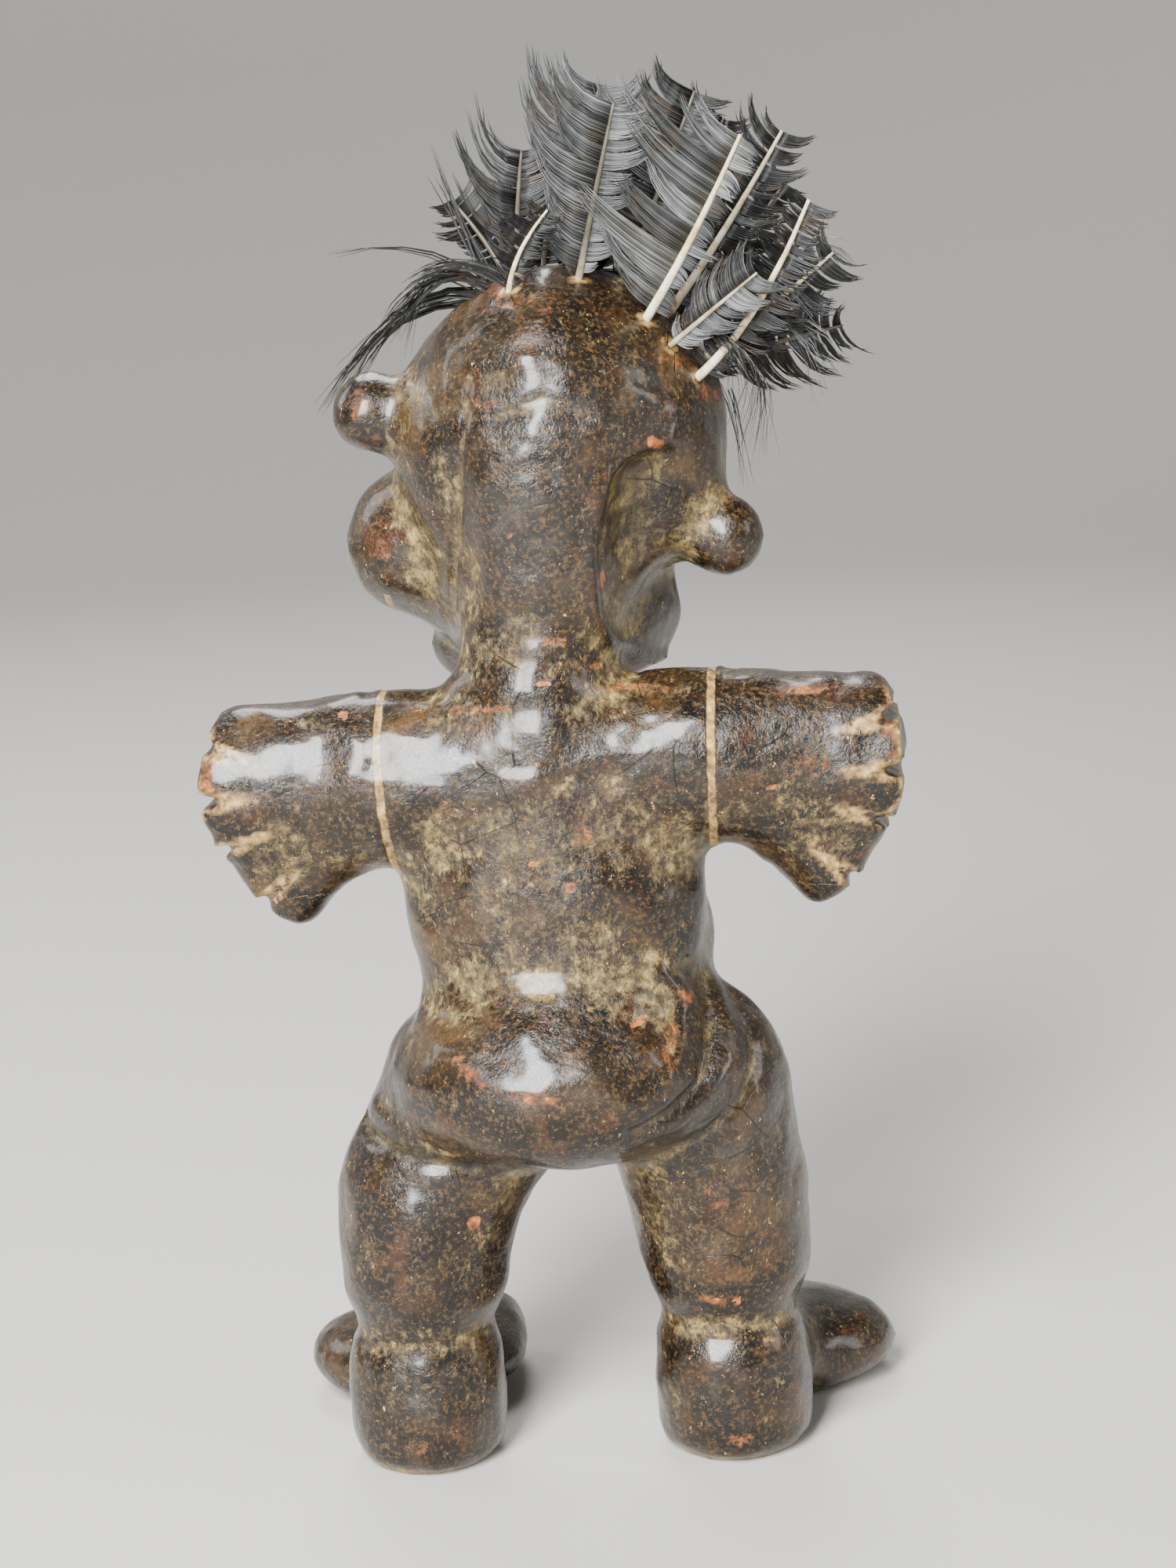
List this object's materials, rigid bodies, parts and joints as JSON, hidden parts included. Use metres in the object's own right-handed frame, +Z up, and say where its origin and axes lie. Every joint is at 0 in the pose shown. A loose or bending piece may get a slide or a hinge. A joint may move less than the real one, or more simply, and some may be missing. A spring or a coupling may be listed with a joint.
{
  "type": "fetish figure",
  "caption": "Standing figure of fired clay with outstretched stub arms, round ears, heavy seat and heels, and a crest of trimmed feathers set in the crown.",
  "frame": {"origin": "on the floor under the middle of the part's bounding box", "axes": "+Z up, the figure looks along -Y and its left hand is on +X"},
  "size_m": [0.1668, 0.1104, 0.3336],
  "materials": {
    "fired_clay": "burnished and darkened, with bare orange chips",
    "feather": "silky vane with a pale horny quill"
  },
  "bodies": {
    "root": {"figure": "fired_clay", "feather_1a": "feather", "feather_1b": "feather", "feather_1c": "feather", "feather_1d": "feather", "feather_1e": "feather", "feather_2a": "feather", "feather_2b": "feather", "feather_2c": "feather", "feather_2d": "feather", "feather_2e": "feather", "feather_3a": "feather", "feather_3b": "feather", "feather_3c": "feather", "feather_3d": "feather", "feather_3e": "feather", "feather_4a": "feather", "feather_4b": "feather", "feather_4c": "feather", "feather_4d": "feather"}
  },
  "joints": []
}
